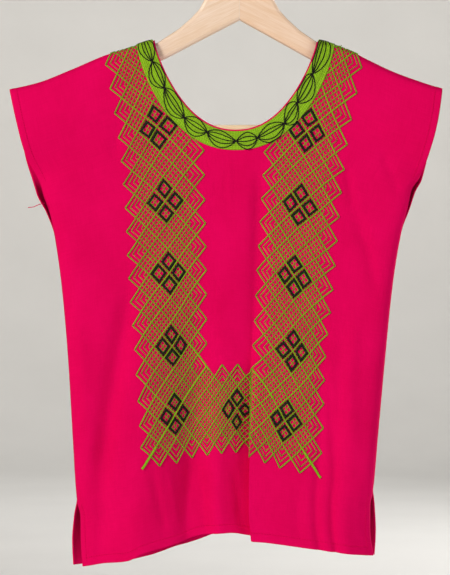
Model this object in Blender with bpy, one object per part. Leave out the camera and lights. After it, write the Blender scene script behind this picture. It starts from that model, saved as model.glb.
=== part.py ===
"""Pink cotton huipil blouse, hung on a wooden hanger.

Metres, +Z up, the front faces -Y. The origin is the inside top of the hook, where a rail carries it.
The sizes below are in millimetres, and metres() turns them into the model's unit.
"""

import math

import bmesh
import bpy
import numpy as np
from mathutils import Matrix, Vector

# Cloth
WALL = 1.2              # one layer of cotton
SEAM_GAP = 0.3          # between pieces that are sewn to or lie on each other
CENTRE_X = -4.8         # the garment hangs this far off the hook's own line
FOLD_RADIUS = 8.5       # outside of the shoulder fold, over the hanger
TIP_RADIUS = 4.0        # the same at the sleeve ends, past the hanger

# Neck
NECK_TOP = -167.5
NECK_HALF_WIDTH = 98.0
NECK_DEPTH = 107.0
NECK_POWER = 1.64       # exponent of the superellipse that the neckline follows
BAND_HALF_WIDTH = 121.0
BAND_DEPTH = 131.4
BAND_POWER = 1.70
BAND_EDGE = 2.5         # pink edge left inside the band
BAND_WALL = 1.5         # dense embroidery

# Hanger
WOOD_THICKNESS = 12.0
WOOD_ROUND = 4.0
WOOD_TILT = 0.016       # drop for each millimetre to the right
BAR_DIAMETER = 12.0
BAR_Z = -274.2
BAR_HALF_LENGTH = 194.8
TENON_DIAMETER = 7.0    # turned end of the bar, glued in the arm's socket
TENON_LENGTH = 8.0
WIRE_DIAMETER = 3.6
HOOK_RADIUS = 17.0      # inside of the hook
CROWN_TOP = -84.0

# Height of the shoulder fold, across the garment: (x, z). Between the neck corners it only guides the rows.
SHOULDER_FOLD = [
    (-275.0, -226.0), (-240.0, -217.6), (-201.7, -202.6), (-158.0, -184.3), (-129.0, -175.6),
    (-102.8, -167.5), (-60.0, -160.0), (-4.8, -156.0), (50.0, -160.0), (93.2, -167.5),
    (131.3, -179.3), (151.4, -189.6), (185.8, -205.7), (220.0, -218.0), (242.5, -225.0),
]

# Lower edge: (x, z)
FRONT_HEM = [
    (-187.0, -795.0), (-160.0, -789.5), (-132.6, -785.5), (-114.6, -777.0), (-77.4, -767.0),
    (-41.4, -756.0), (-11.4, -753.5), (10.2, -757.0), (15.0, -761.5), (30.6, -763.5),
    (76.2, -770.0), (126.6, -777.5), (160.0, -782.0),
]
BACK_HEM = [
    (-200.0, -795.0), (-144.0, -793.0), (-105.0, -788.0), (-80.0, -779.5), (-52.0, -769.0),
    (-22.0, -760.5), (10.0, -762.0), (72.0, -769.0), (120.0, -776.0), (162.0, -783.0),
]

# Outline: (way down the edge from fold 0 to hem 1, left x, right x). The sleeves end at 0.23, the slits start at 0.87.
FRONT_EDGES = [
    (0.0, -275.0, 242.5), (0.075, -265.8, 236.4), (0.15, -256.0, 226.6), (0.215, -240.0, 212.0),
    (0.24, -236.0, 206.5), (0.28, -225.5, 199.8), (0.33, -218.8, 191.4), (0.45, -211.8, 182.8),
    (0.60, -204.4, 174.0), (0.75, -199.2, 166.0), (0.87, -194.4, 159.6), (0.90, -189.8, 155.8),
    (0.95, -189.0, 155.2), (1.0, -186.8, 159.0),
]
BACK_EDGES = FRONT_EDGES[:11] + [(0.90, -197.5, 161.3), (0.95, -200.2, 163.0), (1.0, -199.3, 161.8)]

# How far the cloth stands from the middle plane: (way down, at the middle, at the side edge, 1 where sides are sewn)
FRONT_DEPTH = [
    (0.0, 8.5, 5.0, 0.0), (0.02, 8.5, 8.5, 0.0), (0.06, 9.3, 11.0, 0.0), (0.11, 10.5, 13.0, 0.0),
    (0.19, 12.5, 5.5, 0.1), (0.235, 13.5, 0.0, 1.0), (0.40, 16.5, 0.0, 1.0), (0.70, 19.5, 0.0, 1.0),
    (0.87, 20.5, 0.0, 1.0), (0.93, 21.0, 5.0, 0.3), (1.0, 21.5, 7.0, 0.0),
]
BACK_DEPTH = [
    (0.0, 8.5, 5.0, 0.0), (0.02, 8.5, 8.5, 0.0), (0.06, 9.3, 12.0, 0.0), (0.11, 10.5, 16.0, 0.0),
    (0.19, 12.5, 7.0, 0.1), (0.235, 13.5, 0.0, 1.0), (0.40, 17.5, 0.0, 1.0), (0.70, 21.5, 0.0, 1.0),
    (0.87, 23.5, 0.0, 1.0), (0.93, 24.0, 6.0, 0.3), (1.0, 24.5, 9.0, 0.0),
]

# Folds: (where it starts down the cloth, place across there, place across at the hem, width as a share of the
# cloth, depth at the hem). Places run from 0 at the left edge to 1 at the right. A minus depth is a trough.
FRONT_FOLDS = [
    (0.25, 0.20, 0.060, 0.030, -4.0), (0.35, 0.25, 0.135, 0.070, 11.0), (0.30, 0.42, 0.440, 0.105, -19.0),
    (0.40, 0.53, 0.515, 0.025, 2.5), (0.45, 0.79, 0.803, 0.020, -7.0), (0.50, 0.85, 0.857, 0.018, -5.0),
    (0.45, 0.88, 0.905, 0.030, 3.0),
]
BACK_FOLDS = [
    (0.40, 0.18, 0.12, 0.050, -6.0), (0.30, 0.27, 0.25, 0.070, 9.0), (0.35, 0.43, 0.41, 0.080, -11.0),
    (0.28, 0.55, 0.57, 0.070, 8.0), (0.42, 0.70, 0.72, 0.050, -8.0), (0.45, 0.84, 0.86, 0.050, 5.0),
]

# The one deep pleat of the front: the cloth right of it stands forward of the cloth left of it
PLEAT_PLACE = 0.576
PLEAT_START = 0.26
PLEAT_RISE = 10.0
PLEAT_SINK = 13.0
PLEAT_SHARPNESS = 0.012
PLEAT_SINK_WIDTH = 0.045
PLEAT_RISE_WIDTH = 0.22

# Rows and columns of the cloth walls, closer where the form turns
FRONT_COLUMNS = [
    0, .003, .010, .022, .040, .062, .085, .11, .14, .175, .21, .25, .29, .33, .37, .41, .445, .48, .51,
    .533, .550, .561, .569, .576, .583, .591, .602, .62, .65, .69, .73, .765, .785, .803, .82, .838, .857,
    .875, .90, .925, .950, .972, .988, .996, 1,
]
BACK_COLUMNS = [
    0, .003, .010, .022, .045, .08, .12, .16, .20, .245, .29, .33, .37, .41, .45, .49, .53, .57, .61, .65,
    .69, .73, .77, .81, .85, .89, .925, .955, .978, .990, .997, 1,
]
ROWS = [
    0, .0056, .0112, .0167, .0223, .04, .07, .10, .13, .16, .185, .21, .235, .27, .32, .38, .45, .52, .59,
    .66, .73, .79, .84, .87, .90, .935, .97, 1,
]
BAND_LAST_ROW = 15      # the rows that the neck band needs

# Hanger arm, right-hand half: (x, z), clockwise from the glued joint at the crown
ARM_TOP = [
    (0.0, CROWN_TOP), (14.0, -85.5), (27.0, -92.5), (36.0, -105.0), (41.5, -119.0), (48.0, -131.0),
    (57.0, -141.0), (72.0, -154.5), (98.0, -172.0), (129.0, -182.5), (158.0, -193.2), (190.0, -207.4),
    (210.0, -217.5), (219.0, -230.0), (222.0, -248.0), (222.0, -272.0), (218.0, -284.0),
]
ARM_UNDER = [
    (209.0, -288.0), (199.0, -284.0), (196.0, -270.0), (194.0, -252.0), (186.0, -238.0), (168.0, -226.0),
    (145.0, -216.5), (118.0, -205.0), (82.0, -187.5), (40.0, -164.8), (0.0, -143.4),
]

# Hook wire: the stem, then the arc round the rail
STEM = [(0.0, -62.0), (1.5, -54.0), (6.0, -45.5), (11.0, -38.0)]
HOOK_START = -38.0      # degrees, counted from +X
HOOK_END = 205.0
HOOK_STEPS = 16


def metres(*values):
    return Vector(values) * 0.001


def smooth_table(at, known, values):
    """Curve through a table's points that never overshoots them: cubic Hermite, with harmonic mean slopes."""
    known = np.asarray(known, float)
    values = np.asarray(values, float)
    step = np.diff(values) / np.diff(known)
    slope = np.concatenate(([step[0]], np.zeros(len(step) - 1), [step[-1]]))
    same = step[:-1] * step[1:] > 0
    both = np.where(same, step[:-1] + step[1:], 1.0)
    slope[1:-1] = np.where(same, 2 * step[:-1] * step[1:] / both, 0.0)
    at = np.clip(at, known[0], known[-1])
    cell = np.clip(np.searchsorted(known, at, side="right") - 1, 0, len(step) - 1)
    width = known[cell + 1] - known[cell]
    u = (at - known[cell]) / width
    return (values[cell] * (1 + 2 * u) * (1 - u) ** 2 + values[cell + 1] * u * u * (3 - 2 * u)
            + width * (slope[cell] * u * (1 - u) ** 2 - slope[cell + 1] * u * u * (1 - u)))


def column(table, number):
    return [row[number] for row in table]


def ease(at, start, end):
    u = np.clip((at - start) / (end - start), 0, 1)
    return u * u * (3 - 2 * u)


def fold_relief(across, down, folds):
    """Sum of soft ridges and troughs, each a bell curve across that grows from its start to the hem."""
    relief = np.zeros(np.broadcast(across, down).shape)
    for start, place_top, place_hem, width, depth in folds:
        grow = ease(down, start, 1.0)
        place = place_top + (place_hem - place_top) * np.clip((down - start) / (1 - start), 0, 1)
        spread = width * (1.6 - 0.6 * grow)
        relief = relief + depth * grow * np.exp(-((across - place) / spread) ** 2)
    return relief


def pleat_relief(across, down):
    """The deep pleat: a steep step at its place, a groove to its left and a slow return to its right."""
    grow = ease(down, PLEAT_START, 1.0) ** 0.8
    off = across - PLEAT_PLACE
    step = 0.5 * (1 + np.tanh(off / PLEAT_SHARPNESS))
    right = PLEAT_RISE * step * np.exp(-(np.maximum(off, 0) / PLEAT_RISE_WIDTH) ** 2)
    left = -PLEAT_SINK * (1 - step) * np.exp(-(np.minimum(off, 0) / PLEAT_SINK_WIDTH) ** 2)
    return grow * (right + left)


def cloth_surface(across, down, side):
    """Outer face of a panel. across and down run from 0 to 1, and side is -1 for the front and 1 for the back."""
    front = side < 0
    edges = FRONT_EDGES if front else BACK_EDGES
    depths = FRONT_DEPTH if front else BACK_DEPTH
    hem = FRONT_HEM if front else BACK_HEM
    left = smooth_table(down, column(edges, 0), column(edges, 1))
    right = smooth_table(down, column(edges, 0), column(edges, 2))
    x = left + (right - left) * across

    fold_z = smooth_table(x, column(SHOULDER_FOLD, 0), column(SHOULDER_FOLD, 1))
    hem_z = smooth_table(x, column(hem, 0), column(hem, 1))
    radius = FOLD_RADIUS + (TIP_RADIUS - FOLD_RADIUS) * ease(np.abs(x - CENTRE_X), 222.0, 270.0)
    quarter = radius * math.pi / 2
    length = fold_z - hem_z + quarter - radius
    run = down * length
    turn = np.minimum(run / radius, math.pi / 2)
    z = fold_z - radius * (1 - np.cos(turn)) - np.maximum(run - quarter, 0)

    middle = smooth_table(down, column(depths, 0), column(depths, 1))
    edge = smooth_table(down, column(depths, 0), column(depths, 2))
    sewn = smooth_table(down, column(depths, 0), column(depths, 3))
    off = np.abs(2 * across - 1)
    closed_form = np.sqrt(np.maximum(1 - off ** 14, 0))
    open_form = 1 - off ** 8
    form = sewn * closed_form + (1 - sewn) * open_form
    relief = fold_relief(across, down, FRONT_FOLDS if front else BACK_FOLDS)
    if front:
        relief = relief + pleat_relief(across, down)
    depth = edge + (middle - edge + relief) * form
    y = side * (SEAM_GAP / 2 + np.sin(turn) * np.maximum(depth, 0))
    return np.stack([x, y, z], axis=-1)


def cloth_grid(columns, rows, side):
    """Points of a panel's outer face with their outward directions, as two arrays of rows by columns by 3."""
    across, down = np.meshgrid(np.array(columns, float), np.array(rows, float))
    step = 1e-4
    point = cloth_surface(across, down, side)
    before, after = np.maximum(across - step, 0), np.minimum(across + step, 1)
    above, below = np.maximum(down - step, 0), np.minimum(down + step, 1)
    along = cloth_surface(after, down, side) - cloth_surface(before, down, side)
    drop = cloth_surface(across, below, side) - cloth_surface(across, above, side)
    out = np.cross(drop, along) * -side
    out[0, :, 1] = 0.0
    out /= np.linalg.norm(out, axis=-1, keepdims=True)
    return point, out


def wall_mesh(name, outer, inner, side):
    """Closed wall between two grids of points, with a strip of faces round its four edges."""
    rows, columns = outer.shape[:2]
    count = rows * columns
    points = np.concatenate([outer.reshape(-1, 3), inner.reshape(-1, 3)]) * 0.001
    index = np.arange(count).reshape(rows, columns)
    quads = np.stack([index[:-1, :-1], index[1:, :-1], index[1:, 1:], index[:-1, 1:]], axis=-1).reshape(-1, 4)
    faces = quads.tolist() + (quads[:, ::-1] + count).tolist()
    rim = np.concatenate([index[:-1, 0], index[-1, :-1], index[:0:-1, -1], index[0, :0:-1]])
    ahead = np.roll(rim, -1)
    faces += np.stack([rim, rim + count, ahead + count, ahead], axis=-1).tolist()
    mesh = bpy.data.meshes.new(name)
    mesh.from_pydata(points.tolist(), [], faces)
    bm = bmesh.new()
    bm.from_mesh(mesh)
    bmesh.ops.triangulate(bm, faces=bm.faces[:])
    bmesh.ops.recalc_face_normals(bm, faces=bm.faces[:])
    bm.to_mesh(mesh)
    bm.free()
    mesh.validate()
    return mesh


def neckline(half_width, depth, power, steps=30):
    """Lower half of a superellipse, from the left neck corner round to the right one."""
    angle = np.linspace(math.pi, 2 * math.pi, steps + 1)
    x = CENTRE_X + half_width * np.sign(np.cos(angle)) * np.abs(np.cos(angle)) ** (2 / power)
    z = NECK_TOP - depth * np.abs(np.sin(angle)) ** (2 / power)
    return list(zip(x.tolist(), z.tolist()))


def prism(name, outline, y_from, y_to, collection):
    """Straight-sided solid on an outline of (x, z) points, used as a cutter."""
    bm = bmesh.new()
    ring = [bm.verts.new(metres(x, y_from, z)) for x, z in outline]
    face = bm.faces.new(ring)
    grown = bmesh.ops.extrude_face_region(bm, geom=[face])
    moved = [item for item in grown["geom"] if isinstance(item, bmesh.types.BMVert)]
    bmesh.ops.translate(bm, verts=moved, vec=metres(0, y_to - y_from, 0))
    bmesh.ops.triangulate(bm, faces=bm.faces[:])
    bmesh.ops.recalc_face_normals(bm, faces=bm.faces[:])
    mesh = bpy.data.meshes.new(name)
    bm.to_mesh(mesh)
    bm.free()
    cutter = bpy.data.objects.new(name, mesh)
    cutter.hide_render = True
    cutter.display_type = "WIRE"
    collection.objects.link(cutter)
    return cutter


def boolean(piece, cutter, operation):
    modifier = piece.modifiers.new(cutter.name, "BOOLEAN")
    modifier.operation = operation
    modifier.solver = "EXACT"
    modifier.object = cutter


def material(name, colour, roughness, metallic=0.0):
    made = bpy.data.materials.new(name)
    made.use_nodes = True
    shader = made.node_tree.nodes["Principled BSDF"]
    shader.inputs["Base Color"].default_value = (*colour, 1.0)
    shader.inputs["Roughness"].default_value = roughness
    shader.inputs["Metallic"].default_value = metallic
    return made


def add_piece(name, mesh, finish, collection):
    mesh.materials.clear()
    mesh.materials.append(finish)
    piece = bpy.data.objects.new(name, mesh)
    collection.objects.link(piece)
    return piece


def build_panel(name, side, columns, finish, collection, cutter):
    """Front or back: one wall of cloth from the shoulder fold to the hem, with the neck cut out."""
    outer, out = cloth_grid(columns, ROWS, side)
    inner = outer - WALL * out
    inner[..., 1] = side * np.maximum(side * inner[..., 1], SEAM_GAP / 2)
    piece = add_piece(name, wall_mesh(name, outer, inner, side), finish, collection)
    boolean(piece, cutter, "DIFFERENCE")
    return piece


def build_band(name, side, columns, finish, collection, cutter):
    """Half of the neck band: the panel's own points moved out, kept where the band lies."""
    rows = ROWS[:BAND_LAST_ROW]
    near = [place for place in columns if 0.12 < place < 0.88]
    outer, out = cloth_grid(near, rows, side)
    top = outer + (SEAM_GAP + BAND_WALL) * out
    under = outer + SEAM_GAP * out
    piece = add_piece(name, wall_mesh(name, top, under, side), finish, collection)
    boolean(piece, cutter, "INTERSECT")
    return piece


def build_hanger(finish, collection, cutters):
    """Two wooden arms from one flat outline with rounded edges, parted at the glued joint."""
    right = ARM_TOP + ARM_UNDER
    left = [(-x, z) for x, z in right[1:-1]][::-1]
    outline = [(x, z - WOOD_TILT * x) for x, z in right + left]
    flat = bpy.data.curves.new("hanger_outline", "CURVE")
    flat.dimensions = "2D"
    flat.fill_mode = "BOTH"
    flat.extrude = (WOOD_THICKNESS / 2 - WOOD_ROUND) * 0.001
    flat.bevel_depth = WOOD_ROUND * 0.001
    flat.bevel_resolution = 1
    flat.offset = -WOOD_ROUND * 0.001
    spline = flat.splines.new("POLY")
    spline.points.add(len(outline) - 1)
    for point, (x, z) in zip(spline.points, outline):
        point.co = (x * 0.001, z * 0.001, 0.0, 1.0)
    spline.use_cyclic_u = True
    guide = bpy.data.objects.new("hanger_outline", flat)
    guide.matrix_world = Matrix.Rotation(math.pi / 2, 4, "X")
    collection.objects.link(guide)
    whole = solid_from_curve(guide)
    halves = (("hanger_arm_left", -SEAM_GAP / 2, 400.0), ("hanger_arm_right", -400.0, SEAM_GAP / 2))
    for name, x_from, x_to in halves:
        arm = add_piece(name, whole.copy(), finish, collection)
        box = [(x_from, -400.0), (x_to, -400.0), (x_to, 50.0), (x_from, 50.0)]
        boolean(arm, prism(name + "_cutter", box, -50.0, 50.0, cutters), "DIFFERENCE")
        boolean(arm, socket_cutter(name + "_socket", 1 if "right" in name else -1, cutters), "DIFFERENCE")


def socket_cutter(name, side, collection):
    """Round drill for the bar's tenon, from inside the hanger into the end of one arm."""
    reach = TENON_LENGTH + SEAM_GAP
    bm = bmesh.new()
    place = Matrix.Translation(metres(side * BAR_HALF_LENGTH, 0, BAR_Z)) @ Matrix.Rotation(math.pi / 2, 4, "Y")
    bmesh.ops.create_cone(bm, cap_ends=True, segments=20, radius1=(TENON_DIAMETER / 2 + SEAM_GAP) * 0.001,
                          radius2=(TENON_DIAMETER / 2 + SEAM_GAP) * 0.001, depth=2 * reach * 0.001, matrix=place)
    mesh = bpy.data.meshes.new(name)
    bm.to_mesh(mesh)
    bm.free()
    cutter = bpy.data.objects.new(name, mesh)
    cutter.hide_render = True
    cutter.display_type = "WIRE"
    collection.objects.link(cutter)
    return cutter


def solid_from_curve(guide):
    """Mesh of a curve object in world space with its caps welded; the curve itself is removed."""
    bpy.context.view_layer.update()
    seen = guide.evaluated_get(bpy.context.evaluated_depsgraph_get())
    mesh = bpy.data.meshes.new_from_object(seen)
    mesh.transform(guide.matrix_world)
    bm = bmesh.new()
    bm.from_mesh(mesh)
    bmesh.ops.remove_doubles(bm, verts=bm.verts[:], dist=1e-6)
    bmesh.ops.recalc_face_normals(bm, faces=bm.faces[:])
    bm.to_mesh(mesh)
    bm.free()
    bpy.data.objects.remove(guide)
    return mesh


def build_wire(name, points, diameter, sides_step, finish, collection, scales=None):
    """Round rod or bent wire along points of (x, z), as a curve with filled caps; scales thin it at its points."""
    path = bpy.data.curves.new(name, "CURVE")
    path.dimensions = "3D"
    path.bevel_depth = diameter / 2 * 0.001
    path.bevel_resolution = sides_step
    path.use_fill_caps = True
    spline = path.splines.new("POLY")
    spline.points.add(len(points) - 1)
    for point, (x, z), scale in zip(spline.points, points, scales or [1.0] * len(points)):
        point.co = (x * 0.001, 0.0, z * 0.001, 1.0)
        point.radius = scale
    guide = bpy.data.objects.new(name, path)
    collection.objects.link(guide)
    mesh = solid_from_curve(guide)
    piece = add_piece(name, mesh, finish, collection)
    piece.data.shade_smooth()
    piece.data.set_sharp_from_angle(angle=math.radians(40))
    return piece


def build_bar(finish, collection):
    """Round trouser bar with a thinner tenon at each end."""
    thin = TENON_DIAMETER / BAR_DIAMETER
    shoulder = 0.05
    end = BAR_HALF_LENGTH + TENON_LENGTH
    half = [(BAR_HALF_LENGTH, 1.0), (BAR_HALF_LENGTH + shoulder, thin), (end, thin)]
    run = [(-x, scale) for x, scale in half[::-1]] + half
    points = [(x, BAR_Z) for x, scale in run]
    build_wire("hanger_bar", points, BAR_DIAMETER, 4, finish, collection, [scale for x, scale in run])


def build_hook(finish, collection):
    """Steel hook: a stem that leaves the crown and turns round the rail, whose contact is the origin."""
    reach = HOOK_RADIUS + WIRE_DIAMETER / 2
    angles = np.radians(np.linspace(HOOK_START, HOOK_END, HOOK_STEPS + 1))
    arc = [(reach * math.cos(a), -HOOK_RADIUS + reach * math.sin(a)) for a in angles]
    stem = [(0.0, CROWN_TOP + SEAM_GAP)] + STEM
    build_wire("hook", stem + arc, WIRE_DIAMETER, 2, finish, collection)


def main():
    for item in list(bpy.data.objects):
        bpy.data.objects.remove(item)
    blouse = bpy.data.collections.new("huipil_blouse_on_hanger")
    cutters = bpy.data.collections.new("cutters")
    bpy.context.scene.collection.children.link(blouse)
    bpy.context.scene.collection.children.link(cutters)

    cotton = material("pink_cotton", (0.74, 0.0006, 0.10), 0.85)
    thread = material("green_embroidery", (0.19, 0.36, 0.02), 0.7)
    wood = material("pale_hanger_wood", (0.84, 0.60, 0.42), 0.5)
    steel = material("hook_steel", (0.62, 0.62, 0.63), 0.3, 1.0)

    neck = neckline(NECK_HALF_WIDTH, NECK_DEPTH, NECK_POWER)
    lift = NECK_TOP + 60.0
    hole = neck + [(neck[-1][0], lift), (neck[0][0], lift)]
    band_outer = neckline(BAND_HALF_WIDTH, BAND_DEPTH, BAND_POWER)
    band_inner = neckline(NECK_HALF_WIDTH + BAND_EDGE, NECK_DEPTH + BAND_EDGE, NECK_POWER)
    ring = ([(band_outer[0][0], lift)] + band_outer + [(band_outer[-1][0], lift)]
            + [(band_inner[-1][0], lift)] + band_inner[::-1] + [(band_inner[0][0], lift)])

    hole_cutter = prism("neck_cutter", hole, -80.0, 80.0, cutters)
    ring_cutter = prism("band_cutter", ring, -80.0, 80.0, cutters)
    for word, side, columns in (("front", -1, FRONT_COLUMNS), ("back", 1, BACK_COLUMNS)):
        build_panel(word + "_panel", side, columns, cotton, blouse, hole_cutter)
        build_band("neck_band_" + word, side, columns, thread, blouse, ring_cutter)

    build_hanger(wood, blouse, cutters)
    build_bar(wood, blouse)
    build_hook(steel, blouse)


main()
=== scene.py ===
"""Pink cotton huipil blouse on a wooden hanger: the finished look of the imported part.

The cloth, the sewn lattice, the neck band and the hems are surfaces worked out with numpy, in
millimetres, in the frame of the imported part: +Z up, the front faces -Y, the origin is the inside top
of the hook.
"""

import math

import bpy
import numpy as np
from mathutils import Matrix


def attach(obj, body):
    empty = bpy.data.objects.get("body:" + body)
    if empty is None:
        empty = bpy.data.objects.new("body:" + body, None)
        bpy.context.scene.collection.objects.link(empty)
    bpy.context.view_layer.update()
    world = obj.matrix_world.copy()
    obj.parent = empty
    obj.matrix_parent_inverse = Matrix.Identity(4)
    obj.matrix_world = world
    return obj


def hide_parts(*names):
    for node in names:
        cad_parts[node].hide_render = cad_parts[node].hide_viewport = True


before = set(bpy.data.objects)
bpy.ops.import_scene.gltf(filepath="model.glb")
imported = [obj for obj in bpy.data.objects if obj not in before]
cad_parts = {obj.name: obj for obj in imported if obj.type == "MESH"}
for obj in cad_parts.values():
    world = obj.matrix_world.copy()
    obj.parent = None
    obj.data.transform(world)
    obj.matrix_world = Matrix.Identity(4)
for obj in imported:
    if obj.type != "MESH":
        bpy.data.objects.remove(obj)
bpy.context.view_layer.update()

bl_info = {
    "name": "Huipil blouse on a hanger",
    "version": (1, 0, 0),
    "blender": (4, 5, 0),
    "location": "3D View > Sidebar > Huipil",
    "description": "Dresses the packed solids of a hung huipil blouse with cloth, embroidery and wood",
    "category": "Object",
}

MM = 0.001

# Photograph: 450 x 575 pixels. The frame plane is the one on which a pixel measures PIXEL millimetres.
PHOTO_WIDTH = 450
PHOTO_HEIGHT = 575
PIXEL = 1.194
CAMERA_X = -17.4
CAMERA_Z = -462.6
CAMERA_REACH = 2250.0
FRAME_PLANE_Y = -2.0

# Cloth, as in the part's own source
WALL = 1.2
MIDDLE_GAP = 0.02       # from either panel to the middle plane, where the sides are sewn
CENTRE_X = -4.8
FOLD_RADIUS = 8.5
TIP_RADIUS = 4.0
TIP_NARROWS = (222.0, 270.0)    # from the centre: where the fold narrows to the sleeve's tip
CLOSED_POWER = 20       # how square the hollow is where the sides are sewn
OPEN_POWER = 8          # the same where they are open
NECK_TOP = -167.5
NECK_HALF_WIDTH = 96.8
NECK_DEPTH = 107.5
NECK_POWERS = (2.2, 1.25)   # across and down
BAND_HALF_WIDTH = 118.5
BAND_DEPTH = 131.8
BAND_POWERS = (2.2, 1.45)
BAND_EDGE = 1.8

# Height of the shoulder fold, across the garment: (x, z). Between the neck corners it only guides the
# rows.
SHOULDER_FOLD = [
    (-275.0, -226.0), (-240.0, -217.6), (-201.7, -202.6), (-158.0, -184.3), (-129.0, -175.6),
    (-102.8, -167.5), (-60.0, -160.0), (-4.8, -156.0), (50.0, -160.0), (93.2, -167.5),
    (131.3, -179.3), (151.4, -189.6), (185.8, -205.7), (220.0, -218.0), (242.5, -225.0),
]

# Lower edge: (x, z)
FRONT_HEM = [
    (-187.0, -795.0), (-160.0, -789.5), (-132.6, -785.5), (-114.6, -777.0), (-77.4, -767.0),
    (-41.4, -756.0), (-11.4, -753.5), (7.5, -756.5), (12.0, -760.0), (17.0, -762.2),
    (30.6, -763.5), (76.2, -770.0), (126.6, -777.5), (160.0, -782.0),
]
BACK_HEM = [
    (-200.0, -795.0), (-144.0, -793.0), (-108.0, -786.8), (-92.0, -781.0), (-77.0, -774.5),
    (-62.0, -769.5), (-47.6, -764.5), (-29.5, -758.8), (-11.0, -758.0), (10.0, -761.5),
    (72.0, -769.0), (120.0, -776.0), (162.0, -783.0),
]

# Outline: (way down the edge from fold 0 to hem 1, left x, right x)
FRONT_EDGES = [
    (0.0, -275.0, 242.5), (0.075, -265.8, 236.4), (0.15, -254.8, 226.4), (0.215, -238.6, 213.6),
    (0.24, -235.0, 206.0), (0.28, -227.4, 201.2), (0.33, -221.2, 193.8), (0.45, -211.8, 182.8),
    (0.60, -204.4, 174.0), (0.75, -199.2, 166.0), (0.87, -194.4, 159.6), (0.90, -189.8, 155.8),
    (0.95, -189.0, 155.2), (1.0, -186.8, 159.0),
]
# Under the arm the back stands out past the front, and at the slits it hangs wider.
UNDERARM_BACK = [
    (0.15, -257.4, 227.2), (0.215, -245.8, 217.4), (0.24, -241.7, 210.6), (0.28, -230.8, 203.4),
]
SLIT_BACK = [(0.90, -197.5, 161.3), (0.95, -200.2, 163.0), (1.0, -199.3, 161.8)]
BACK_EDGES = FRONT_EDGES[:2] + UNDERARM_BACK + FRONT_EDGES[6:11] + SLIT_BACK
SLEEVE_END = 0.225
SLIT_START = 0.875

# How far the cloth stands from the middle plane: (way down, at the middle, at the side edge, 1 where
# the sides are sewn)
FRONT_DEPTH = [
    (0.0, 8.5, 5.0, 0.0), (0.02, 8.5, 8.5, 0.0), (0.06, 9.3, 11.0, 0.0), (0.11, 10.5, 13.0, 0.0),
    (0.19, 12.5, 5.5, 0.1), (0.235, 13.5, 0.0, 1.0), (0.40, 16.5, 0.0, 1.0), (0.70, 19.5, 0.0, 1.0),
    (0.87, 20.5, 0.0, 1.0), (0.93, 21.0, 5.0, 0.3), (1.0, 21.5, 7.0, 0.0),
]
BACK_DEPTH = [
    (0.0, 8.5, 5.0, 0.0), (0.02, 8.5, 8.5, 0.0), (0.06, 9.3, 12.0, 0.0), (0.11, 10.5, 16.0, 0.0),
    (0.19, 12.5, 7.0, 0.1), (0.235, 13.5, 0.0, 1.0), (0.40, 17.5, 0.0, 1.0), (0.70, 21.5, 0.0, 1.0),
    (0.87, 23.5, 0.0, 1.0), (0.93, 24.0, 6.0, 0.3), (1.0, 24.5, 9.0, 0.0),
]

LEAST_DEPTH = 2.5       # how near a trough may come to the middle plane
FLOOR_SOFTNESS = 3.0    # how early a trough slows down before it

# Folds: (where it starts down the cloth, place across there, place across at the hem, width as a share
# of the cloth, depth at the hem). Places run from 0 at the left edge to 1 at the right. A minus depth is
# a trough.
FRONT_FOLDS = [
    (0.25, 0.20, 0.060, 0.030, -4.0), (0.35, 0.25, 0.190, 0.085, 11.0),
    (0.30, 0.40, 0.398, 0.058, -18.0), (0.30, 0.46, 0.462, 0.042, 7.0),
    (0.45, 0.79, 0.815, 0.016, -3.6), (0.50, 0.85, 0.870, 0.012, -3.4),
    (0.45, 0.88, 0.915, 0.030, 3.0),
]
BACK_FOLDS = [
    (0.40, 0.18, 0.12, 0.050, -6.0), (0.30, 0.27, 0.25, 0.070, 9.0), (0.35, 0.43, 0.41, 0.080, -11.0),
    (0.28, 0.55, 0.57, 0.070, 8.0), (0.42, 0.70, 0.72, 0.050, -8.0), (0.45, 0.84, 0.86, 0.050, 5.0),
]

# The one deep pleat of the front: the cloth right of it stands forward of the cloth left of it
PLEAT_PLACE = 0.579
PLEAT_START = 0.26
PLEAT_RISE = 10.0
PLEAT_SINK = 10.0
PLEAT_SHARPNESS = 0.0022    # half width of its step at the hem, as a share of the cloth
PLEAT_SOFTNESS = 0.020      # the same above the middle of the cloth
PLEAT_SHARPENS = (0.45, 0.85)
PLEAT_SINK_WIDTH = 0.085
PLEAT_RISE_WIDTH = 0.55
PLEAT_LAP = 2.6             # how far the forward cloth laps over to the left
PLEAT_LAP_OFF = 0.012       # where it does, right of the pleat
PLEAT_LAP_WIDTH = 0.020
PLEAT_UNDER = 5.0           # how far the groove beside it runs in under it
PLEAT_UNDER_OFF = 0.008     # where it does, left of the pleat
PLEAT_UNDER_WIDTH = 0.010
PLEAT_LAPS = (0.4, 0.8)     # way down over which it starts to lap

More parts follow.
